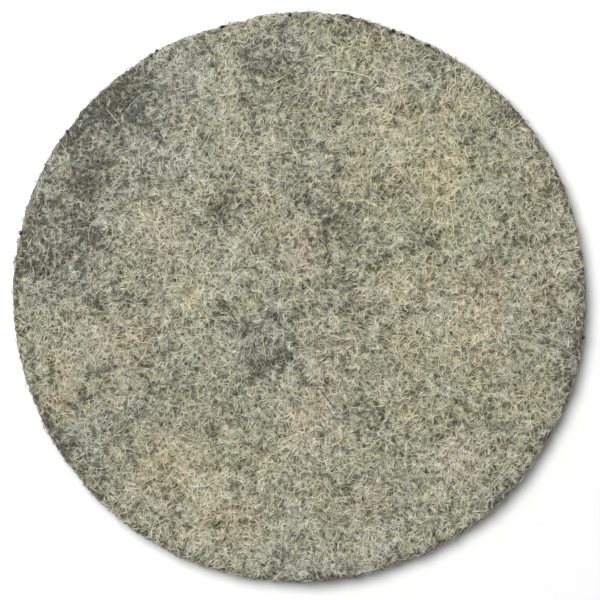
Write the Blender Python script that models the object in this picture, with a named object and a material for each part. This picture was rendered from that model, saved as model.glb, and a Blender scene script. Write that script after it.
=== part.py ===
"""Round burnishing pad of curled hair and fibre, 508 mm (20 in) across and 25 mm thick.

The real pad is one piece. Hair and crimped fibre are blown into a lofty web, bonded with resin where
they cross, and die-cut to a disc. So it is one closed solid here, with the web's tufts and hollows on
the upper face, a softly rounded rim that wanders a little off the circle, and a flat under face.

Metres, +Z up. The origin is in the middle of the under face, which the pad lies on.
"""

from math import atan2, cos, exp, pi, radians, sin

import bmesh
import bpy
from mathutils import Vector, noise

# Overall size
PAD_DIAMETER = 0.508
PAD_THICKNESS = 0.0254

# Rim, as the cutting die leaves it: both edges are rounded, and the cut side swells a little between
TOP_EDGE_RADIUS = 0.0036
UNDER_EDGE_RADIUS = 0.0030
SIDE_SWELL = 0.0008
SIDE_ROUGHNESS = 0.0012
SIDE_TUFT_SPACING = 0.016

# Where the cut wanders off the circle: bearing from +X and spread in degrees, then distance outwards
EDGE_WANDERS = (
    (28, 12, 0.0012),
    (66, 10, -0.0018),
    (105, 8, -0.0028),
    (122, 12, -0.0010),
    (160, 24, 0.0012),
    (222, 10, -0.0008),
    (264, 16, -0.0010),
    (290, 12, -0.0012),
    (315, 9, 0.0010),
    (343, 16, 0.0014),
)

# Upper face: slow swells of the web's loft, closer tufts and hollows, and curled locks of matted hair
LOFT_HEIGHT = 0.0016
LOFT_SPACING = 0.085
TUFT_HEIGHT = 0.0018
TUFT_SPACING = 0.026
LOCK_HEIGHT = 0.0010
LOCK_SPACING = 0.021
LOCK_CURL = 0.009
LOCK_SEED = 5

# Look of the hair blend
HAIR_COLOUR = (0.319, 0.309, 0.227)
HAIR_ROUGHNESS = 0.95

# Fineness of the mesh
FACE_CELLS = 60
TOP_EDGE_STEPS = 3
SIDE_STEPS = 3
UNDER_EDGE_STEPS = 2


def clear_scene():
    """Removes whatever objects the file holds."""
    for item in list(bpy.data.objects):
        bpy.data.objects.remove(item)


def edge_radius(bearing):
    """Radius of the cut at a bearing in radians."""
    radius = PAD_DIAMETER / 2
    for centre, spread, outwards in EDGE_WANDERS:
        away = (bearing - radians(centre) + pi) % (2 * pi) - pi
        radius += outwards * exp(-((away / radians(spread)) ** 2))
    return radius


def face_height(x, y):
    """How far the upper face stands above or below its mean level."""
    place = Vector((x, y, 0))
    loft = noise.noise(place / LOFT_SPACING)
    tufts = noise.noise(Vector((x, y, LOFT_SPACING)) / TUFT_SPACING)
    swept = place + LOCK_CURL * noise.noise_vector(place / TUFT_SPACING)
    lock = 0.5 - 2 * abs(noise.noise(swept / LOCK_SPACING))
    return LOFT_HEIGHT * loft + TUFT_HEIGHT * tufts + LOCK_HEIGHT * lock


def side_depth(x, y, z):
    """How far the cut side stands in or out where hairs were pulled or left."""
    return SIDE_ROUGHNESS * noise.noise(Vector((x, y, z)) / SIDE_TUFT_SPACING)


def rim_profile():
    """Distance in from the cut, and height, of each ring from the upper face to the under face."""
    rings = []
    for step in range(TOP_EDGE_STEPS + 1):
        turn = pi / 2 * step / TOP_EDGE_STEPS
        rings.append((TOP_EDGE_RADIUS * (1 - sin(turn)), PAD_THICKNESS - TOP_EDGE_RADIUS * (1 - cos(turn))))
    side_height = PAD_THICKNESS - TOP_EDGE_RADIUS - UNDER_EDGE_RADIUS
    for step in range(1, SIDE_STEPS):
        share = step / SIDE_STEPS
        rings.append((-SIDE_SWELL * sin(pi * share), PAD_THICKNESS - TOP_EDGE_RADIUS - side_height * share))
    for step in range(UNDER_EDGE_STEPS + 1):
        turn = pi / 2 * step / UNDER_EDGE_STEPS
        rings.append((UNDER_EDGE_RADIUS * (1 - cos(turn)), UNDER_EDGE_RADIUS * (1 - sin(turn))))
    return rings


def square_to_disc(u, v):
    """Bearing and share of the radius for a point of a square from -1 to 1, with its rings kept even."""
    if abs(u) > abs(v):
        reach, turn = u, pi / 4 * v / u
    elif v:
        reach, turn = v, pi / 2 - pi / 4 * u / v
    else:
        return 0.0, 0.0
    return atan2(reach * sin(turn), reach * cos(turn)), abs(reach)


def spread_face(mesh):
    """Turns the square grid into the upper face and raises its tufts."""
    for vertex in mesh.verts:
        bearing, share = square_to_disc(vertex.co.x, vertex.co.y)
        reach = share * (edge_radius(bearing) - TOP_EDGE_RADIUS)
        x, y = reach * cos(bearing), reach * sin(bearing)
        vertex.co = (x, y, PAD_THICKNESS + face_height(x, y))


def turn_rim_down(mesh):
    """Draws the face's border outwards and down in rings, and closes the under face."""
    border = [edge for edge in mesh.edges if edge.is_boundary]
    for inwards, height in rim_profile()[1:]:
        drawn = bmesh.ops.extrude_edge_only(mesh, edges=border)["geom"]
        border = [item for item in drawn if isinstance(item, bmesh.types.BMEdge)]
        share_up = height / PAD_THICKNESS
        for vertex in {end for edge in border for end in edge.verts}:
            bearing = atan2(vertex.co.y, vertex.co.x)
            reach = edge_radius(bearing) - inwards
            x, y = reach * cos(bearing), reach * sin(bearing)
            reach += side_depth(x, y, height) * min(1, height / UNDER_EDGE_RADIUS)
            vertex.co = (reach * cos(bearing), reach * sin(bearing), height + face_height(x, y) * share_up)
    bmesh.ops.edgeloop_fill(mesh, edges=border)


def centre_on_origin(mesh):
    """Puts the middle of the pad's width and depth over the origin, which the wandering cut shifts."""
    across = [vertex.co.x for vertex in mesh.verts]
    deep = [vertex.co.y for vertex in mesh.verts]
    middle = Vector((min(across) + max(across), min(deep) + max(deep), 0)) / 2
    bmesh.ops.translate(mesh, verts=mesh.verts, vec=-middle)


def hair_material():
    """Matt, pale grey-buff blend of undyed hair."""
    material = bpy.data.materials.new("hair_blend")
    material.use_nodes = True
    shader = material.node_tree.nodes["Principled BSDF"]
    shader.inputs["Base Color"].default_value = (*HAIR_COLOUR, 1)
    shader.inputs["Roughness"].default_value = HAIR_ROUGHNESS
    shader.inputs["Metallic"].default_value = 0
    return material


def make_pad(collection):
    """The whole pad: one closed solid. The seed makes the locks curl the same way every time."""
    noise.seed_set(LOCK_SEED)
    mesh = bmesh.new()
    bmesh.ops.create_grid(mesh, x_segments=FACE_CELLS, y_segments=FACE_CELLS, size=1)
    spread_face(mesh)
    turn_rim_down(mesh)
    centre_on_origin(mesh)
    bmesh.ops.recalc_face_normals(mesh, faces=mesh.faces)
    data = bpy.data.meshes.new("hair_pad")
    mesh.to_mesh(data)
    mesh.free()
    data.materials.append(hair_material())
    data.shade_smooth()
    pad = bpy.data.objects.new("hair_pad", data)
    collection.objects.link(pad)
    return pad


clear_scene()
pad_collection = bpy.data.collections.new("burnishing_pad")
bpy.context.scene.collection.children.link(pad_collection)
make_pad(pad_collection)
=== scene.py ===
"""Looks of the burnishing pad: a lofty disc of curled hair and fibre, lying on a white floor.

The web's body takes the pad's form, and the hair that shows is modelled on it, on every side.
Metres, +Z up, with the origin in the middle of the under face.
"""

import random
from math import cos, pi, radians, sin

import bmesh
import bpy
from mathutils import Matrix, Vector, noise


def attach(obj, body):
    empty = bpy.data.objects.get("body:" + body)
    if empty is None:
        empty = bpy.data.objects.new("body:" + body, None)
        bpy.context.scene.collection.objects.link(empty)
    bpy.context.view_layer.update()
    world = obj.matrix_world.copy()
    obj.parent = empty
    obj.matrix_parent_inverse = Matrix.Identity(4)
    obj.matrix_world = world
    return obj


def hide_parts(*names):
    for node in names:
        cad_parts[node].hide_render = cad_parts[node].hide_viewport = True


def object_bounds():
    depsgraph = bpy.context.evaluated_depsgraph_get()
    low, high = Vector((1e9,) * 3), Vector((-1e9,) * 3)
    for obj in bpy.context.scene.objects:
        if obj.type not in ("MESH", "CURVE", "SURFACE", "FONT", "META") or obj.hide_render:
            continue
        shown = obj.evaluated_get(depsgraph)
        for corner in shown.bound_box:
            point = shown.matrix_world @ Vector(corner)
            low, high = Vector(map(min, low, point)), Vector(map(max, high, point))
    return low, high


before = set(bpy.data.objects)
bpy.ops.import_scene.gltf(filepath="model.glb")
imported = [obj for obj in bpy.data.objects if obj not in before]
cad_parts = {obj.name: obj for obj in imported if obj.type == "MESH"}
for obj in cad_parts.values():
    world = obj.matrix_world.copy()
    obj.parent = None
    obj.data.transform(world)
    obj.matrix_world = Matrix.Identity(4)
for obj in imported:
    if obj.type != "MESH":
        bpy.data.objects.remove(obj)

cad_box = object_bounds()


# Body of the web
# Hair and crimped fibre are blown into a lofty mat and bonded with resin where they cross. Under the
# loose hair of the surface the mat is closer, drawn up in locks and open at its pores, and its colour
# carries painted shade between its threads and in its pores.
WEB_CELL = 0.0028
HAIR_BED = 0.0012
UNDER_HAIR_BED = 0.0011
LOCK_DEPTH = 0.0019
UNDER_LOCK_DEPTH = 0.0006
LOCK_SPACING = 0.0072
LOCK_CURL = 0.006
LOCK_SEED = 3
MERGE_WITHIN = 1e-5

# How much each kind of lock counts for, and how many fine locks go to a coarse one
COARSE_LOCKS = 0.35
FINE_LOCKS = 0.2
FINE_TO_COARSE = 2.1

# Past this upward share of its normal, up or down, the web is a face, and between them it is the rim
FACE_FACING = 0.5

# Cell spacing and radius of the wide pores and of the narrow ones
PORES = ((0.0064, 0.0025), (0.0040, 0.0015))
PORE_DEPTH = 0.0018


def sits_at_origin(name, mesh):
    """An object at the origin for a finished mesh, in the scene."""
    made = bpy.data.objects.new(name, mesh)
    bpy.context.scene.collection.objects.link(made)
    return made


def applied(piece):
    """The piece's mesh as its modifiers leave it."""
    evaluated = piece.evaluated_get(bpy.context.evaluated_depsgraph_get())
    return bpy.data.meshes.new_from_object(evaluated)


def lock_height(place):
    """Height of the matted locks, from 0 in the hollows to 1 along their crests."""
    swept = place + LOCK_CURL * noise.noise_vector(place / (2 * LOCK_SPACING))
    coarse = 1 - 2 * abs(noise.noise(swept / LOCK_SPACING))
    fine = 1 - 2 * abs(noise.noise(FINE_TO_COARSE * swept / LOCK_SPACING))
    return max(0.0, min(1.0, 0.5 + COARSE_LOCKS * coarse + FINE_LOCKS * fine))


def web_form():
    """The pad's form in small even cells, sunk by the depth of the loose hair that lies on it."""
    noise.seed_set(LOCK_SEED)
    form = bmesh.new()
    form.from_mesh(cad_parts["hair_pad"].data)
    bmesh.ops.remove_doubles(form, verts=form.verts, dist=MERGE_WITHIN)
    merged = bpy.data.meshes.new("web_form")
    form.to_mesh(merged)
    form.free()
    draft = sits_at_origin("web_draft", merged)
    cells = draft.modifiers.new("even_cells", "REMESH")
    cells.mode = "VOXEL"
    cells.voxel_size = WEB_CELL
    mesh = applied(draft)
    bpy.data.objects.remove(draft)
    mesh.materials.clear()
    sides = [(vertex.co.copy(), vertex.normal.copy()) for vertex in mesh.vertices]
    for vertex, (place, out) in zip(mesh.vertices, sides):
        under = out.z < -FACE_FACING
        bed = UNDER_HAIR_BED if under else HAIR_BED
        hollow = UNDER_LOCK_DEPTH if under else LOCK_DEPTH
        vertex.co = place - out * (bed + hollow * (1 - lock_height(place)))
    return mesh


def new_tree(name, kind, inputs=(), outputs=()):
    """An empty node group with its sockets: the group, what it is given, and its result."""
    tree = bpy.data.node_groups.new(name, kind)
    for way, sockets in (("INPUT", inputs), ("OUTPUT", outputs)):
        for label, form in sockets:
            tree.interface.new_socket(label, in_out=way, socket_type="NodeSocket" + form)
    given = tree.nodes.new("NodeGroupInput").outputs
    result = tree.nodes.new("NodeGroupOutput").inputs
    return tree, given, result


def put(tree, kind, sockets=(), **settings):
    """A node with its settings, its inputs set or linked by name or number."""
    made = tree.nodes.new(kind)
    for name, value in settings.items():
        setattr(made, name, value)
    for key, value in dict(sockets).items():
        if isinstance(value, bpy.types.NodeSocket):
            tree.links.new(value, made.inputs[key])
        else:
            made.inputs[key].default_value = value
    return made


def maths(tree, operation, first, second=0.0, third=0.0):
    """The number that one Math node gives."""
    return put(tree, "ShaderNodeMath", {0: first, 1: second, 2: third}, operation=operation).outputs[0]


def vectors(tree, operation, first, second=(0, 0, 0), third=(0, 0, 0)):
    """The vector that one Vector Math node gives, or the number for a length or a product."""
    made = put(tree, "ShaderNodeVectorMath", {0: first, 1: second, 2: third}, operation=operation)
    gives_number = operation in ("LENGTH", "DISTANCE", "DOT_PRODUCT")
    return made.outputs["Value" if gives_number else "Vector"]


def scaled(tree, vector, factor):
    """The vector times a number."""
    return put(tree, "ShaderNodeVectorMath", {0: vector, "Scale": factor}, operation="SCALE").outputs[0]


def flattened(tree, place):
    """The place brought down to the plane under the pad."""
    return vectors(tree, "MULTIPLY", place, (1, 1, 0))


def ramped(tree, value, low, high, at_low, at_high, smooth=False):
    """The value spread from one range to another, and held at its ends."""
    sockets = {"Value": value, "From Min": low, "From Max": high, "To Min": at_low, "To Max": at_high}
    interpolation = "SMOOTHSTEP" if smooth else "LINEAR"
    return put(tree, "ShaderNodeMapRange", sockets, interpolation_type=interpolation).outputs[0]


def noise_at(tree, place, spacing, detail, **more):
    """Noise of such a spacing at a place: its number from 0 to 1, and then its colour."""
    sockets = {"Vector": place, "Scale": 1 / spacing, "Detail": detail, **more}
    return put(tree, "ShaderNodeTexNoise", sockets).outputs


def pores_group(kind):
    """Pores at a place: how deep in one it is, 0 to 1, and the way to that pore's edge."""
    sockets = (("Depth", "Float"), ("Way out", "Vector"))
    tree, given, result = new_tree("pores", kind, [("Place", "Vector")], sockets)
    deepest = 0.0
    way_out = (0, 0, 0)
    for spacing, radius in PORES:
        cells = put(tree, "ShaderNodeTexVoronoi", {"Vector": given["Place"], "Scale": 1 / spacing})
        from_middle = vectors(tree, "SUBTRACT", given["Place"], cells.outputs["Position"])
        depth = ramped(tree, vectors(tree, "LENGTH", from_middle), 0.0, radius, 1.0, 0.0)
        edgewards = vectors(tree, "NORMALIZE", from_middle)
        to_edge = scaled(tree, edgewards, maths(tree, "MULTIPLY", depth, radius))
        way_out = vectors(tree, "ADD", to_edge, way_out)
        deepest = maths(tree, "MAXIMUM", depth, deepest)
    tree.links.new(deepest, result["Depth"])
    tree.links.new(way_out, result["Way out"])
    return tree


# Where the blend is uneven: across and up from the middle and reach, in mm, then how far it goes
BLEND_PATCHES = {
    "dark": (
        (-158, 174, 62, 1.0), (-190, 126, 50, 0.8), (-206, 74, 44, 0.4), (-234, 38, 40, 0.6),
        (-188, 50, 32, 0.8), (-150, 4, 34, 0.5), (-62, 86, 32, 0.7), (-12, 200, 36, 0.5),
        (42, 122, 30, 0.5), (27, 61, 44, 0.8), (76, 96, 26, 0.3), (45, -30, 30, 0.5),
        (-34, -46, 34, 0.8), (-174, -72, 36, 0.7), (-85, -122, 28, 0.5), (-204, -150, 38, 0.5),
        (50, -102, 30, 0.4), (238, -52, 18, 0.3), (190, -92, 26, 0.4), (-200, -48, 30, 0.4),
    ),
    "pale": (
        (-75, 199, 32, 0.8), (-152, 62, 30, 0.5), (-66, 22, 38, 1.5), (85, 135, 34, 1.4),
        (126, 92, 42, 1.7), (215, 100, 30, 0.5), (170, -20, 52, 1.4), (226, -16, 30, 1.2),
        (2, -100, 38, 1.4), (-90, -172, 38, 1.7), (-50, -205, 30, 0.6), (139, -149, 34, 1.1),
        (163, 56, 36, 1.4), (-110, -62, 26, 0.6), (-120, -115, 26, 0.4), (232, 30, 30, 0.6),
        (-30, 222, 34, 0.3), (126, -203, 30, 1.0),
    ),
    "grey": (
        (-165, 190, 90, 1.0), (-204, 114, 90, 1.0), (-222, 42, 70, 0.9), (-106, 206, 70, 0.8),
        (-26, 221, 50, 0.7), (-124, 130, 60, 0.7), (-33, -42, 40, 1.0), (125, 203, 40, 0.6),
        (241, -47, 36, 0.7), (0, -243, 60, 0.9), (90, -216, 46, 0.6), (-196, -127, 40, 0.5),
    ),
    "buff": (
        (90, 158, 34, 0.7), (125, 114, 38, 0.75), (166, 16, 46, 0.9), (157, -24, 38, 0.8),
        (219, -2, 30, 0.6), (-133, 83, 26, 0.5), (-147, -38, 30, 0.8), (-204, -91, 34, 0.8),
        (-115, -149, 40, 0.9), (-62, -198, 40, 0.9), (5, -114, 28, 0.8), (134, -140, 28, 0.6),
    ),
    "straw": (
        (120, 100, 130, 0.6), (130, -60, 110, 0.5), (-90, -150, 90, 0.4), (45, 207, 40, 0.7),
        (148, 181, 30, 0.4), (197, 69, 36, 0.3), (90, 20, 40, 0.3), (-93, -2, 24, 0.7),
        (-44, -136, 36, 0.4), (41, -145, 36, 0.4), (-218, -60, 26, 0.6),
    ),
}
MM_PER_METRE = 1000
PATCH_WANDER = 0.022
PATCH_WANDER_SPACING = 0.030
PATCH_WANDER_DETAIL = 3.0
DARK_PATCH_TONE = -0.55
PALE_PATCH_TONE = 0.19

# Over what width painted shade darkens the blend towards the rim, where the rounded rim falls into shade,
# and how far at the rim itself
RIM_SHADE_BAND = 0.016
RIM_PAINTED_SHADE = -0.26

# Spacing of the blend's chance clouds, and how far each moves the tone
TONE_CLOUDS = ((0.040, 0.85), (0.017, 0.95))
# Spacing of the chance clouds of tinted hair, and how strong each is
TINT_CLOUDS = ((0.034, 1.9), (0.011, 1.3))
CLOUD_DETAIL = 2.0
NOISE_MIDDLE = 0.5


def uneven_blend_group():
    """The hair blend at a place on the pad: how pale or dark it is, with painted shade towards the rim,
    and its share of each tint.
    """
    outputs = [(label, "Float") for label in ("Tone", "Grey", "Buff", "Straw")]
    tree, _, result = new_tree("uneven_blend", "GeometryNodeTree", outputs=outputs)
    place = put(tree, "GeometryNodeInputPosition").outputs[0]
    drift = noise_at(tree, place, PATCH_WANDER_SPACING, PATCH_WANDER_DETAIL)[1]
    centred = vectors(tree, "SUBTRACT", drift, (NOISE_MIDDLE,) * 3)
    moved = flattened(tree, vectors(tree, "MULTIPLY_ADD", centred, (2 * PATCH_WANDER,) * 3, place))
    share = {}
    for label, patches in BLEND_PATCHES.items():
        share[label] = 0.0
        for across, up, reach, most in patches:
            away = vectors(tree, "DISTANCE", moved, (across / MM_PER_METRE, up / MM_PER_METRE, 0))
            near = ramped(tree, away, 0.0, reach / MM_PER_METRE, most, 0.0, smooth=True)
            share[label] = maths(tree, "ADD", share[label], near)
    tone = maths(tree, "MULTIPLY", share["dark"], DARK_PATCH_TONE)
    tone = maths(tree, "MULTIPLY_ADD", share["pale"], PALE_PATCH_TONE, tone)
    rim = cad_box[1].x
    # Painted shade: the tone goes darker towards the rim, where the rounded rim turns away from the light
    from_middle = vectors(tree, "LENGTH", flattened(tree, place))
    painted_rim_shade = ramped(tree, from_middle, rim - RIM_SHADE_BAND, rim, 0.0, RIM_PAINTED_SHADE, smooth=True)
    tone = maths(tree, "ADD", painted_rim_shade, tone)
    for spacing, most in TONE_CLOUDS:
        cloud = maths(tree, "SUBTRACT", noise_at(tree, place, spacing, CLOUD_DETAIL)[0], NOISE_MIDDLE)
        tone = maths(tree, "MULTIPLY_ADD", cloud, most, tone)
    tinted = (0, 0, 0)
    for spacing, strength in TINT_CLOUDS:
        cloud = noise_at(tree, place, spacing, CLOUD_DETAIL)[1]
        centred = vectors(tree, "SUBTRACT", cloud, (NOISE_MIDDLE,) * 3)
        tinted = vectors(tree, "MULTIPLY_ADD", centred, (strength,) * 3, tinted)
    parts = put(tree, "ShaderNodeSeparateXYZ", {0: tinted}).outputs
    warm = maths(tree, "MAXIMUM", parts["X"], 0.0)
    cool = maths(tree, "MAXIMUM", maths(tree, "MULTIPLY", parts["X"], -1.0), 0.0)
    yellow = maths(tree, "MAXIMUM", parts["Y"], 0.0)
    tree.links.new(tone, result["Tone"])
    tree.links.new(maths(tree, "ADD", share["grey"], cool), result["Grey"])
    tree.links.new(maths(tree, "ADD", share["buff"], warm), result["Buff"])
    tree.links.new(maths(tree, "ADD", share["straw"], yellow), result["Straw"])
    return tree


def keep_blend(tree, geometry, tone, grey=0.0, buff=0.0):
    """Stores the blend's tone and tints, on top of those given, for the colour to read."""
    blend = put(tree, "GeometryNodeGroup", node_tree=uneven_blend).outputs
    kept = {
        "hair_tone": maths(tree, "ADD", blend["Tone"], tone),
        "hair_grey": maths(tree, "ADD", blend["Grey"], grey),
        "hair_buff": maths(tree, "ADD", blend["Buff"], buff),
        "hair_straw": blend["Straw"],
    }
    for label, value in kept.items():
        sockets = {"Geometry": geometry, "Name": label, "Value": value}
        geometry = put(tree, "GeometryNodeStoreNamedAttribute", sockets).outputs[0]
    return geometry


def finish_tree(tree, geometry, given, result):
    """Shades a tree's mesh smooth and gives it its material."""
    smooth = put(tree, "GeometryNodeSetShadeSmooth", {"Geometry": geometry}).outputs[0]
    real = put(tree, "GeometryNodeRealizeInstances", {"Geometry": smooth}).outputs[0]
    clad = put(tree, "GeometryNodeSetMaterial", {"Geometry": real, "Material": given["Material"]})
    tree.links.new(clad.outputs[0], result["Geometry"])


# The close web's own tone, which the blend moves
WEB_TONE = 0.5


def pore_pits_tree():
    """Draws the web in at its pores, and stores the blend on it."""
    inputs = (("Geometry", "Geometry"), ("Depth", "Float"), ("Material", "Material"))
    tree, given, result = new_tree("pore_pits", "GeometryNodeTree", inputs, [("Geometry", "Geometry")])
    pores = put(tree, "GeometryNodeGroup", node_tree=pores_in_shape)
    tree.links.new(put(tree, "GeometryNodeInputPosition").outputs[0], pores.inputs["Place"])
    depth = maths(tree, "MULTIPLY", pores.outputs["Depth"], given["Depth"])
    outwards = put(tree, "GeometryNodeInputNormal").outputs[0]
    pit = scaled(tree, outwards, maths(tree, "MULTIPLY", depth, -1.0))
    sunk = put(tree, "GeometryNodeSetPosition", {"Geometry": given["Geometry"], "Offset": pit}).outputs[0]
    finish_tree(tree, keep_blend(tree, sunk, WEB_TONE), given, result)
    return tree


# The hair's own colours from its darkest to its palest, and the tints of greyer and warmer hair
HAIR_COLOURS = (
    (0.00, (0.195, 0.192, 0.143, 1)),
    (0.25, (0.380, 0.373, 0.283, 1)),
    (0.50, (0.565, 0.554, 0.428, 1)),
    (0.80, (0.680, 0.668, 0.535, 1)),
    (1.00, (0.770, 0.758, 0.635, 1)),
)
GREY_TINT = (0.93, 0.97, 1.06, 1)
BUFF_TINT = (1.10, 0.995, 0.93, 1)
STRAW_TINT = (1.03, 1.03, 0.88, 1)

# Spacing of the hair's clumps, and how far each kind moves the tone
CLUMPS = ((0.0042, 1.72), (0.0090, 1.20))
CLUMP_DETAIL = 1.0


def tinted_by(tree, colour, tint, share=1.0):
    """The colour multiplied by a tint, as far as its share goes."""
    sockets = {0: share, 6: colour, 7: tint}
    return put(tree, "ShaderNodeMix", sockets, data_type="RGBA", blend_type="MULTIPLY").outputs[2]


def hair_colour_group():
    """Colour of the hair from the blend stored on it, which goes darker and paler clump by clump."""
    tree, _, result = new_tree("hair_colour", "ShaderNodeTree", outputs=[("Colour", "Color")])
    place = put(tree, "ShaderNodeTexCoord").outputs["Object"]
    tone = put(tree, "ShaderNodeAttribute", attribute_name="hair_tone").outputs["Fac"]
    for spacing, most in CLUMPS:
        clump = maths(tree, "SUBTRACT", noise_at(tree, place, spacing, CLUMP_DETAIL)[0], NOISE_MIDDLE)
        tone = maths(tree, "MULTIPLY_ADD", clump, most, tone)
    ramp = put(tree, "ShaderNodeValToRGB", {0: tone})
    steps = ramp.color_ramp.elements
    steps.remove(steps[1])
    steps[0].position, steps[0].color = HAIR_COLOURS[0]
    for position, colour in HAIR_COLOURS[1:]:
        steps.new(position).color = colour
    colour = ramp.outputs[0]
    for label, tint in (("hair_grey", GREY_TINT), ("hair_buff", BUFF_TINT), ("hair_straw", STRAW_TINT)):
        share = put(tree, "ShaderNodeAttribute", attribute_name=label).outputs["Fac"]
        colour = tinted_by(tree, colour, tint, share)
    tree.links.new(colour, result["Colour"])
    return tree


uneven_blend = uneven_blend_group()
pores_in_shape = pores_group("GeometryNodeTree")
pores_in_colour = pores_group("ShaderNodeTree")
hair_colour = hair_colour_group()

# Threads of the close web, in layers that cross: each layer's turn in radians, and its strength
WEB_THREAD_LAYERS = ((0.3, 1.0), (1.4, 0.8), (2.6, 0.6))
WEB_THREAD_AXIS = (0.2, 0.3, 1)
WEB_THREAD_SPACING = 0.0042
WEB_THREAD_WIDTH = 0.075
WEB_THREAD_BEND = 0.9
WEB_THREAD_DETAIL = 2.0
WEB_RELIEF = 0.0009
# Painted shade: the colour the web is darkened to between its threads and in its pores
WEB_PAINTED_SHADE = (0.26, 0.26, 0.175)
THREADS_END_IN_PORE = 0.8
WEB_ROUGHNESS = 0.9
WEB_GLOSS = 0.25


def new_material(name):
    """A new material, with its node tree and its Principled BSDF."""
    material = bpy.data.materials.new(name)
    material.use_nodes = True
    return material, material.node_tree, material.node_tree.nodes["Principled BSDF"]


def web_material():
    """The close web under the loose hair: threads that cross, with painted shade between them and in the
    pores.
    """
    material, tree, surface = new_material("matted_web")
    place = put(tree, "ShaderNodeTexCoord").outputs["Object"]
    thread = 0.0
    for angle, strength in WEB_THREAD_LAYERS:
        sockets = {"Vector": place, "Axis": WEB_THREAD_AXIS, "Angle": angle}
        turned = put(tree, "ShaderNodeVectorRotate", sockets).outputs[0]
        grain = noise_at(tree, turned, WEB_THREAD_SPACING, WEB_THREAD_DETAIL, Distortion=WEB_THREAD_BEND)
        off_middle = maths(tree, "ABSOLUTE", maths(tree, "SUBTRACT", grain[0], NOISE_MIDDLE))
        ridge = ramped(tree, off_middle, 0.0, WEB_THREAD_WIDTH, strength, 0.0, smooth=True)
        thread = maths(tree, "MAXIMUM", thread, ridge)
    pores = put(tree, "ShaderNodeGroup", node_tree=pores_in_colour)
    tree.links.new(place, pores.inputs["Place"])
    # Painted shade: in the pores the threads fade out, so the web is darkest there
    bridged = ramped(tree, pores.outputs["Depth"], 0.0, THREADS_END_IN_PORE, 1.0, 0.0)
    thread = maths(tree, "MULTIPLY", thread, bridged)
    colour = put(tree, "ShaderNodeGroup", node_tree=hair_colour).outputs["Colour"]
    # Painted shade: away from the threads the web's colour is darkened, as if in shade
    depth = put(tree, "ShaderNodeCombineColor")
    for channel, shade in enumerate(WEB_PAINTED_SHADE):
        tree.links.new(ramped(tree, thread, 0.0, 1.0, shade, 1.0), depth.inputs[channel])
    tree.links.new(tinted_by(tree, colour, depth.outputs[0]), surface.inputs["Base Color"])
    relief = put(tree, "ShaderNodeBump", {"Height": thread, "Distance": WEB_RELIEF})
    tree.links.new(relief.outputs[0], surface.inputs["Normal"])
    surface.inputs["Roughness"].default_value = WEB_ROUGHNESS
    surface.inputs["Specular IOR Level"].default_value = WEB_GLOSS
    return material


def with_nodes(name, mesh, tree, values):
    """What a node tree makes of a mesh, as a plain piece of its own."""
    draft = sits_at_origin(name + "_draft", mesh)
    modifier = draft.modifiers.new(name, "NODES")
    modifier.node_group = tree
    for item in tree.interface.items_tree:
        if item.in_out == "INPUT" and item.name in values:
            modifier[item.identifier] = values[item.name]
    made = applied(draft)
    made.name = name
    bpy.data.objects.remove(draft)
    return sits_at_origin(name, made)


web_values = {"Depth": PORE_DEPTH, "Material": web_material()}
pad_web = with_nodes("pad_web", web_form(), pore_pits_tree(), web_values)
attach(pad_web, "root")
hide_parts("hair_pad")


# Loose hair of the faces and the rim
# Curled animal hair and fibre, cut to short staples, lies on the web in every direction, one over
# another. Each hair is a thin closed tube that is walked over the web, step by step, as it turns.
HAIR_SIDES = 3
HAIR_THICKNESS_SPREAD = (0.7, 1.25)
HAIR_TIP = 0.55
HAIR_TAPERS_FROM = 0.3
HAIR_RISE_SPREAD = (-0.2, 1.0)
HAIR_DIVE_SHARPNESS = 4.0
HAIR_TONES = (0.42, 0.66)
HAIR_ROUGHNESS = 0.7
HAIR_GLOSS = 0.3

# Hairs of another colour in the blend: past this draw, from -1 to 1, a hair is tinted grey or buff
OWN_TINT_FROM = 0.55
OWN_TINT_SHARE = 0.9
DARK_HAIR_SHARE = 0.06
DARK_HAIR_TONE = -0.32

# Which of a hair's random numbers each of its features takes. The walk takes one more at every step
BEND_DRAW, TONE_DRAW, RISE_DRAW, LAYER_DRAW, THICKNESS_DRAW, DARK_DRAW, TINT_DRAW = 2, 4, 5, 6, 7, 8, 9
FIRST_WALK_DRAW = 10


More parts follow.
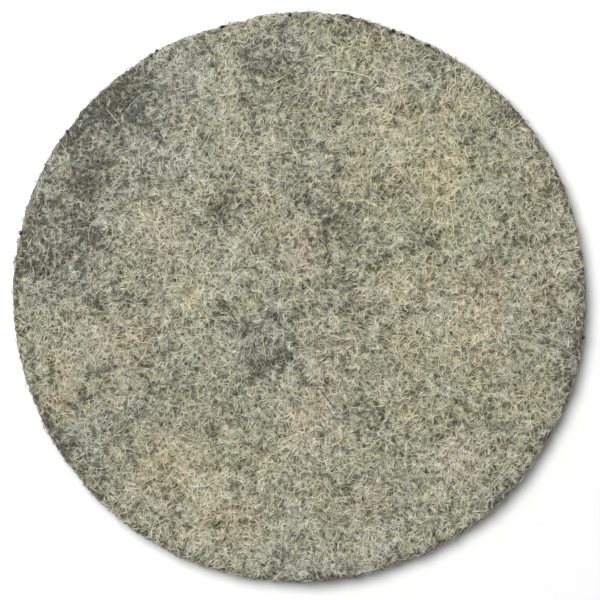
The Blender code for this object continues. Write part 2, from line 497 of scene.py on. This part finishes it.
def hair_tree():
    """Hair laid on a web. Each hair starts at a random point and walks on over the surface."""
    inputs = (
        ("Geometry", "Geometry"), ("Hairs per square metre", "Float"), ("Seed", "Int"),
        ("Lowest facing", "Float"), ("Highest facing", "Float"), ("Steps", "Int"), ("Step", "Float"),
        ("Turn", "Float"), ("Wander", "Float"), ("Thickness", "Float"), ("Rise", "Float"),
        ("Layers", "Float"), ("Sink", "Float"), ("Paler by", "Float"), ("Material", "Material"),
    )
    tree, given, result = new_tree("hair_on_a_web", "GeometryNodeTree", inputs, [("Geometry", "Geometry")])

    def kept(label, kind="FLOAT"):
        """What is stored on the points under this name."""
        return put(tree, "GeometryNodeInputNamedAttribute", {"Name": label}, data_type=kind).outputs[0]

    def keep(geometry, label, value, kind="FLOAT"):
        """The points with a value stored on them."""
        sockets = {"Geometry": geometry, "Name": label, "Value": value}
        return put(tree, "GeometryNodeStoreNamedAttribute", sockets, data_type=kind).outputs[0]

    def chance(low, high, draw):
        """A random number for each hair, another one for each draw."""
        seed = maths(tree, "ADD", given["Seed"], draw)
        sockets = {2: low, 3: high, "ID": kept("hair", "INT"), "Seed": seed}
        return put(tree, "FunctionNodeRandomValue", sockets).outputs[1]

    # Roots, on the part of the web that faces the chosen way
    place = put(tree, "GeometryNodeInputPosition").outputs[0]
    outwards = put(tree, "GeometryNodeInputNormal").outputs[0]
    facing = put(tree, "ShaderNodeSeparateXYZ", {0: outwards}).outputs["Z"]
    sockets = {0: facing, 1: given["Highest facing"]}
    below = put(tree, "FunctionNodeCompare", sockets, operation="LESS_THAN").outputs[0]
    sockets = {0: facing, 1: given["Lowest facing"]}
    above = put(tree, "FunctionNodeCompare", sockets, operation="GREATER_EQUAL").outputs[0]
    chosen = put(tree, "FunctionNodeBooleanMath", {0: below, 1: above}).outputs[0]
    sockets = {
        "Mesh": given["Geometry"], "Selection": chosen,
        "Density": given["Hairs per square metre"], "Seed": given["Seed"],
    }
    roots = put(tree, "GeometryNodeDistributePointsOnFaces", sockets)
    points = keep(roots.outputs["Points"], "hair", put(tree, "GeometryNodeInputIndex").outputs[0], "INT")
    points = keep(points, "web_normal", roots.outputs["Normal"], "FLOAT_VECTOR")
    sockets = {0: (-1, -1, -1), 1: (1, 1, 1), "ID": kept("hair", "INT"), "Seed": given["Seed"]}
    any_way = put(tree, "FunctionNodeRandomValue", sockets, data_type="FLOAT_VECTOR").outputs[0]
    level = vectors(tree, "CROSS_PRODUCT", kept("web_normal", "FLOAT_VECTOR"), any_way)
    points = keep(points, "heading", vectors(tree, "NORMALIZE", level), "FLOAT_VECTOR")
    points = keep(points, "bend", maths(tree, "MULTIPLY", chance(-1.0, 1.0, BEND_DRAW), given["Turn"]))
    points = keep(points, "step", 0.0)
    darker = ramped(tree, chance(0.0, 1.0, DARK_DRAW), 0.0, DARK_HAIR_SHARE, DARK_HAIR_TONE, 0.0)
    own_tone = maths(tree, "ADD", chance(*HAIR_TONES, TONE_DRAW), darker)
    own_tone = maths(tree, "ADD", own_tone, given["Paler by"])
    own_tint = chance(-1.0, 1.0, TINT_DRAW)
    own_grey = ramped(tree, own_tint, -OWN_TINT_FROM, -1.0, 0.0, OWN_TINT_SHARE)
    own_buff = ramped(tree, own_tint, OWN_TINT_FROM, 1.0, 0.0, OWN_TINT_SHARE)
    points = keep_blend(tree, points, own_tone, own_grey, own_buff)

    # The walk: a hair turns, takes a step, keeps out of the pores, and is set back on the web
    start = put(tree, "GeometryNodeRepeatInput")
    end = put(tree, "GeometryNodeRepeatOutput")
    start.pair_with_output(end)
    end.repeat_items.new("GEOMETRY", "Trail")
    tree.links.new(given["Steps"], start.inputs["Iterations"])
    tree.links.new(points, start.inputs["Geometry"])
    tree.links.new(points, start.inputs["Trail"])
    sockets = {"Mesh": given["Geometry"], "Value": outwards, "Sample Position": place}
    web_here = put(tree, "GeometryNodeSampleNearestSurface", sockets, data_type="FLOAT_VECTOR")
    up = web_here.outputs["Value"]
    drawn = chance(-1.0, 1.0, maths(tree, "ADD", start.outputs["Iteration"], FIRST_WALK_DRAW))
    turn = maths(tree, "MULTIPLY_ADD", drawn, given["Wander"], kept("bend"))
    heading = kept("heading", "FLOAT_VECTOR")
    turned = put(tree, "ShaderNodeVectorRotate", {"Vector": heading, "Axis": up, "Angle": turn}).outputs[0]
    climb = scaled(tree, up, vectors(tree, "DOT_PRODUCT", turned, up))
    level = vectors(tree, "NORMALIZE", vectors(tree, "SUBTRACT", turned, climb))
    walkers = keep(start.outputs["Geometry"], "heading", level, "FLOAT_VECTOR")
    ahead = vectors(tree, "ADD", place, scaled(tree, heading, given["Step"]))
    pores = put(tree, "GeometryNodeGroup", node_tree=pores_in_shape)
    tree.links.new(ahead, pores.inputs["Place"])
    ahead = vectors(tree, "ADD", ahead, pores.outputs["Way out"])
    sockets = {0: given["Geometry"], "Sample Position": ahead}
    web_ahead = put(tree, "GeometryNodeProximity", sockets, target_element="FACES").outputs["Position"]
    walkers = put(tree, "GeometryNodeSetPosition", {"Geometry": walkers, "Position": web_ahead}).outputs[0]
    walkers = keep(walkers, "web_normal", up, "FLOAT_VECTOR")
    walkers = keep(walkers, "step", maths(tree, "ADD", start.outputs["Iteration"], 1))
    trail = put(tree, "GeometryNodeJoinGeometry")
    tree.links.new(start.outputs["Trail"], trail.inputs[0])
    tree.links.new(walkers, trail.inputs[0])
    tree.links.new(walkers, end.inputs["Geometry"])
    tree.links.new(trail.outputs[0], end.inputs["Trail"])
    sockets = {
        "Points": end.outputs["Trail"], "Curve Group ID": kept("hair", "INT"), "Weight": kept("step"),
    }
    curves = put(tree, "GeometryNodePointsToCurves", sockets).outputs[0]

    # How high a hair lies: its own layer, a low arch, both ends drawn down, and none in the floor
    along = put(tree, "GeometryNodeSplineParameter").outputs["Factor"]
    from_middle = maths(tree, "ABSOLUTE", maths(tree, "MULTIPLY_ADD", along, 2.0, -1.0))
    arch = maths(tree, "SINE", maths(tree, "MULTIPLY", along, pi))
    rise = maths(tree, "MULTIPLY", chance(*HAIR_RISE_SPREAD, RISE_DRAW), given["Rise"])
    height = maths(tree, "MULTIPLY", chance(0.0, 1.0, LAYER_DRAW), given["Layers"])
    height = maths(tree, "MULTIPLY_ADD", rise, arch, height)
    dive = maths(tree, "POWER", from_middle, HAIR_DIVE_SHARPNESS)
    dive = maths(tree, "MULTIPLY", dive, given["Sink"])
    lift = scaled(tree, kept("web_normal", "FLOAT_VECTOR"), maths(tree, "SUBTRACT", height, dive))
    laid = put(tree, "GeometryNodeSetPosition", {"Geometry": curves, "Offset": lift}).outputs[0]
    level = put(tree, "ShaderNodeSeparateXYZ", {0: place}).outputs
    sockets = {0: level["X"], 1: level["Y"], 2: maths(tree, "MAXIMUM", level["Z"], given["Thickness"])}
    clear = put(tree, "ShaderNodeCombineXYZ", sockets).outputs[0]
    laid = put(tree, "GeometryNodeSetPosition", {"Geometry": laid, "Position": clear}).outputs[0]
    taper = ramped(tree, from_middle, HAIR_TAPERS_FROM, 1.0, 1.0, HAIR_TIP)
    stout = maths(tree, "MULTIPLY", chance(*HAIR_THICKNESS_SPREAD, THICKNESS_DRAW), taper)
    sockets = {"Resolution": HAIR_SIDES, "Radius": maths(tree, "MULTIPLY", given["Thickness"], 0.5)}
    profile = put(tree, "GeometryNodeCurvePrimitiveCircle", sockets).outputs[0]
    sockets = {"Curve": laid, "Profile Curve": profile, "Scale": stout, "Fill Caps": True}
    finish_tree(tree, put(tree, "GeometryNodeCurveToMesh", sockets).outputs[0], given, result)
    return tree


def hair_material():
    """Dry resin-bonded hair, a little glossy along each hair."""
    material, tree, surface = new_material("curled_hair")
    colour = put(tree, "ShaderNodeGroup", node_tree=hair_colour).outputs["Colour"]
    tree.links.new(colour, surface.inputs["Base Color"])
    surface.inputs["Roughness"].default_value = HAIR_ROUGHNESS
    surface.inputs["Specular IOR Level"].default_value = HAIR_GLOSS
    return material


# The short hair: how it is walked, how thick it is and how it lies, under the names of the tree's inputs
SHORT_HAIR = {
    "Steps": 4, "Step": 0.0030, "Turn": radians(45), "Wander": radians(24), "Thickness": 0.00118,
    "Rise": 0.0009, "Layers": 0.0013, "Sink": 0.0016, "Paler by": 0.0, "Material": hair_material(),
}

# Where hair is rooted, by the upward share of the web's normal
STRAIGHT_UP = 1.1
UPWARDS = {"Lowest facing": FACE_FACING, "Highest facing": STRAIGHT_UP}
DOWNWARDS = {"Lowest facing": -STRAIGHT_UP, "Highest facing": -FACE_FACING}
SIDEWAYS = {"Lowest facing": -FACE_FACING, "Highest facing": FACE_FACING}
UPPER_EDGE = {"Lowest facing": -0.2, "Highest facing": 0.8}

# Every mat of hair, with what differs from the short hair
HAIR_MATS = {
    "upper_hair_1": {**UPWARDS, "Hairs per square metre": 32000.0, "Seed": 10},
    "upper_hair_2": {**UPWARDS, "Hairs per square metre": 32000.0, "Seed": 11},
    "upper_hair_3": {**UPWARDS, "Hairs per square metre": 32000.0, "Seed": 12},
    "longer_hair": {
        **UPWARDS, "Hairs per square metre": 11200.0, "Seed": 60, "Steps": 12, "Turn": radians(20),
        "Wander": radians(18), "Thickness": 0.0009, "Rise": 0.0008, "Layers": 0.0016,
    },
    "rim_hair": {**SIDEWAYS, "Hairs per square metre": 70000.0, "Seed": 30, "Thickness": 0.00096},
    "under_hair": {
        **DOWNWARDS, "Hairs per square metre": 11500.0, "Seed": 20, "Rise": 0.0003, "Layers": 0.0006,
    },
    "stray_hair": {
        **UPPER_EDGE, "Hairs per square metre": 16000.0, "Seed": 40, "Steps": 3, "Step": 0.0026,
        "Thickness": 0.0006, "Rise": 0.0032,
    },
    "loose_hair": {
        **UPWARDS, "Hairs per square metre": 1400.0, "Seed": 50, "Steps": 14, "Step": 0.0036,
        "Turn": radians(12), "Wander": radians(10), "Thickness": 0.0007, "Rise": 0.0008,
        "Layers": 0.0022, "Paler by": 0.3,
    },
}

hair_on_a_web = hair_tree()
for name, values in HAIR_MATS.items():
    mat = with_nodes(name, pad_web.data.copy(), hair_on_a_web, {**SHORT_HAIR, **values})
    for spare in ("hair", "web_normal", "heading", "bend", "step", "id"):
        if spare in mat.data.attributes:
            mat.data.attributes.remove(mat.data.attributes[spare])
    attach(mat, "root")


# Long hairs and dark ends
# A few hairs were left at their full length and lie on top of the others, most of them pale and some
# dark. Dark ends stand in the rim's upper edge, where the die cut through a dark lock.

# The way each long hair lies: points across and up from the middle, in mm
PALE_LONG_HAIRS = (
    ((22, 201), (34, 202.5), (46, 200), (58, 197), (66, 194.5), (71, 191), (67, 188), (62, 183)),
    ((-29, 189.5), (-23, 191), (-16, 194.5), (-11, 198)),
    ((58, 206), (58, 199)),
    ((133, 87), (135, 79), (136.5, 68), (137.5, 60), (136.5, 51)),
    ((190, -127.5), (196, -131), (201, -135)),
    ((191.5, -126), (197, -129.5), (203, -134)),
    ((170, -93), (177.5, -99)),
    ((-47.5, 55), (-46, 60), (-42, 64), (-39, 66)),
    ((20.5, 47), (24, 43.5), (24, 39)),
    ((-5.5, 4), (-5, -3.5), (-0.5, -7), (4.5, -5)),
    ((-172, 168), (-166, 161), (-159, 152.5)),
    ((-33.5, -36), (-30, -46), (-30, -57)),
    ((-66.5, -34), (-65, -42), (-60, -49)),
)
DARK_LONG_HAIRS = (
    ((-64.5, -12), (-58, -18.5), (-52, -23.5)),
    ((17.5, -80.5), (23, -88), (29, -95), (33, -100)),
    ((-152, 0.5), (-146, -2.5), (-141, -5)),
    ((34.5, 15.5), (44, 15.5), (52.5, 13)),
    ((128, 175.5), (133, 170), (139, 164)),
)
LONG_HAIR_THICKNESS = 0.0009
LONG_HAIR_TIP = 0.4
LONG_HAIR_LIFT = 0.0029
LONG_HAIR_END_LIFT = 0.0020
LONG_HAIR_ROUGHNESS = 0.6
PALE_LONG_HAIR_COLOUR = (0.86, 0.84, 0.62, 1)
DARK_LONG_HAIR_COLOUR = (0.085, 0.080, 0.060, 1)
CURVE_ORDER = 3
CURVE_STEPS = 4
TUBE_MERGE_WITHIN = 1e-6

# Where the web's height is looked for round a point, from well above the pad
CREST_REACH = 0.0025
CREST_PROBES = 6
PROBE_HEIGHT = 0.1

# Bearing of each dark end from +X, in degrees
DARK_END_BEARINGS = (63, 66.5, 68.5, 70.5, 79.5, 81, 92, 105.5, 106, 120, 121.5, 144.5, 167, 352)
DARK_END_CURLS = 9
DARK_END_REACH = 0.0020
DARK_END_THICKNESS = 0.0013
DARK_END_STANDS_OUT = 0.0015
DARK_END_DROP = 0.0050
DARK_END_COLOUR = (0.020, 0.020, 0.016, 1)
DARK_END_SEED = 8


def above_web(across, up, lift):
    """The point at this height over the web's crests round it, as a long hair bridges the hollows."""
    crest = 0.0
    for probe in range(CREST_PROBES):
        bearing = 2 * pi * probe / CREST_PROBES
        start = (across + CREST_REACH * cos(bearing), up + CREST_REACH * sin(bearing), PROBE_HEIGHT)
        crest = max(crest, pad_web.ray_cast(start, (0, 0, -1))[1].z)
    return Vector((across, up, crest + lift))


def hair_from_curves(name, routes, thickness, tip, material):
    """Hairs along routes of points, as closed tubes in one piece."""
    curve = bpy.data.curves.new(name, "CURVE")
    curve.dimensions = "3D"
    curve.bevel_depth = thickness / 2
    curve.bevel_resolution = 0
    curve.use_fill_caps = True
    curve.resolution_u = CURVE_STEPS
    for route in routes:
        spline = curve.splines.new("NURBS")
        spline.points.add(len(route) - 1)
        spline.use_endpoint_u = True
        spline.order_u = min(CURVE_ORDER, len(route))
        for point, place in zip(spline.points, route):
            point.co = (*place, 1.0)
        spline.points[0].radius = spline.points[-1].radius = tip
    draft = bpy.data.objects.new(name + "_draft", curve)
    bpy.context.scene.collection.objects.link(draft)
    mesh = applied(draft)
    bpy.data.objects.remove(draft)
    welded = bmesh.new()
    welded.from_mesh(mesh)
    bmesh.ops.remove_doubles(welded, verts=welded.verts, dist=TUBE_MERGE_WITHIN)
    bmesh.ops.recalc_face_normals(welded, faces=welded.faces)
    welded.to_mesh(mesh)
    welded.free()
    mesh.shade_smooth()
    mesh.name = name
    mesh.materials.clear()
    mesh.materials.append(material)
    piece = sits_at_origin(name, mesh)
    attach(piece, "root")


def plain_hair_material(name, colour):
    """Hair of one colour."""
    material, _, surface = new_material(name)
    surface.inputs["Base Color"].default_value = colour
    surface.inputs["Roughness"].default_value = LONG_HAIR_ROUGHNESS
    surface.inputs["Specular IOR Level"].default_value = HAIR_GLOSS
    return material


def lay_long_hairs(name, routes, colour):
    """Long hairs over the loose hair of the upper face, their ends tucked in."""
    laid = []
    for route in routes:
        lifts = [LONG_HAIR_END_LIFT, *[LONG_HAIR_LIFT] * (len(route) - 2), LONG_HAIR_END_LIFT]
        laid.append([
            above_web(across / MM_PER_METRE, up / MM_PER_METRE, lift)
            for (across, up), lift in zip(route, lifts)
        ])
    material = plain_hair_material(name, colour)
    hair_from_curves(name, laid, LONG_HAIR_THICKNESS, LONG_HAIR_TIP, material)


def dark_end_routes():
    """Short curls at each dark end, which cross there in every direction."""
    routes = []
    draws = random.Random(DARK_END_SEED)
    level = Vector((0, 0, cad_box[1].z - DARK_END_DROP))
    for bearing in DARK_END_BEARINGS:
        out = Vector((cos(radians(bearing)), sin(radians(bearing)), 0))
        middle = pad_web.ray_cast(out + level, -out)[1] + DARK_END_STANDS_OUT * out
        for _ in range(DARK_END_CURLS):
            way = Vector([draws.uniform(-1, 1) for axis in range(3)]).normalized()
            aside = way.cross(out).normalized()
            shift = aside * draws.uniform(-DARK_END_REACH, DARK_END_REACH) / 2
            routes.append([
                middle + shift - way * DARK_END_REACH,
                middle + shift + aside * DARK_END_REACH,
                middle + shift + way * DARK_END_REACH,
            ])
    return routes


lay_long_hairs("pale_long_hairs", PALE_LONG_HAIRS, PALE_LONG_HAIR_COLOUR)
lay_long_hairs("dark_long_hairs", DARK_LONG_HAIRS, DARK_LONG_HAIR_COLOUR)
dark_hair = plain_hair_material("dark_hair_ends", DARK_END_COLOUR)
hair_from_curves("dark_ends", dark_end_routes(), DARK_END_THICKNESS, LONG_HAIR_TIP, dark_hair)


# Floor, light and camera
# A plain white floor under the pad, a big soft lamp high up towards the photograph's upper left, and
# a camera that looks straight down from far away.
WHITE = (1, 1, 1, 1)
FLOOR_SIDE = 12.0
FLOOR_COLOUR = (0.96, 0.96, 0.96, 1)
FLOOR_LIFT = 0.05
LAMP_TILT = radians(20)
LAMP_BEARING = radians(135)
LAMP_DISTANCE = 4.0
LAMP_SIZE = 2.2
LAMP_POWER = 156.0
SKY_STRENGTH = 0.19
CAMERA_HEIGHT = 4.0
VIEW_WIDTH = 0.533
VIEW_MIDDLE = (0.0006, -0.0024)
SENSOR_WIDTH = 36.0


def shown_to_camera(tree):
    """1 for the rays that show the background: camera, glossy and transmission rays."""
    path = put(tree, "ShaderNodeLightPath").outputs
    seen = maths(tree, "MAXIMUM", path["Is Camera Ray"], path["Is Glossy Ray"])
    return maths(tree, "MAXIMUM", seen, path["Is Transmission Ray"])


def floor_material():
    """Matt white, which the camera sees a little brighter than it is lit."""
    material, tree, surface = new_material("white_floor")
    surface.inputs["Base Color"].default_value = FLOOR_COLOUR
    surface.inputs["Roughness"].default_value = 1.0
    surface.inputs["Specular IOR Level"].default_value = 0.0
    surface.inputs["Emission Color"].default_value = WHITE
    lift = maths(tree, "MULTIPLY", shown_to_camera(tree), FLOOR_LIFT)
    tree.links.new(lift, surface.inputs["Emission Strength"])
    return material


floor_form = bmesh.new()
bmesh.ops.create_grid(floor_form, x_segments=1, y_segments=1, size=FLOOR_SIDE / 2)
floor_mesh = bpy.data.meshes.new("floor")
floor_form.to_mesh(floor_mesh)
floor_form.free()
floor_mesh.materials.append(floor_material())
sits_at_origin("floor", floor_mesh)

lamp_data = bpy.data.lights.new("soft_lamp", "AREA")
lamp_data.shape = "DISK"
lamp_data.size = LAMP_SIZE
lamp_data.energy = LAMP_POWER
lamp = bpy.data.objects.new("soft_lamp", lamp_data)
sideways = sin(LAMP_TILT)
lamp_way = Vector((cos(LAMP_BEARING) * sideways, sin(LAMP_BEARING) * sideways, cos(LAMP_TILT)))
lamp.location = LAMP_DISTANCE * lamp_way
lamp.rotation_euler = lamp_way.to_track_quat("Z", "Y").to_euler()
lamp.visible_camera = False
bpy.context.scene.collection.objects.link(lamp)

world = bpy.data.worlds.new("studio")
world.use_nodes = True
sky = world.node_tree.nodes["Background"]
sky.inputs["Color"].default_value = WHITE
seen_sky = shown_to_camera(world.node_tree)
strength = ramped(world.node_tree, seen_sky, 0.0, 1.0, SKY_STRENGTH, 1.0)
world.node_tree.links.new(strength, sky.inputs["Strength"])
bpy.context.scene.world = world

camera_data = bpy.data.cameras.new("camera")
camera_data.sensor_width = SENSOR_WIDTH
camera_data.lens = SENSOR_WIDTH * CAMERA_HEIGHT / VIEW_WIDTH
camera = bpy.data.objects.new("camera", camera_data)
camera.location = (*VIEW_MIDDLE, cad_box[1].z + CAMERA_HEIGHT)
bpy.context.scene.collection.objects.link(camera)
bpy.context.scene.camera = camera
bpy.context.scene.view_settings.view_transform = "Standard"
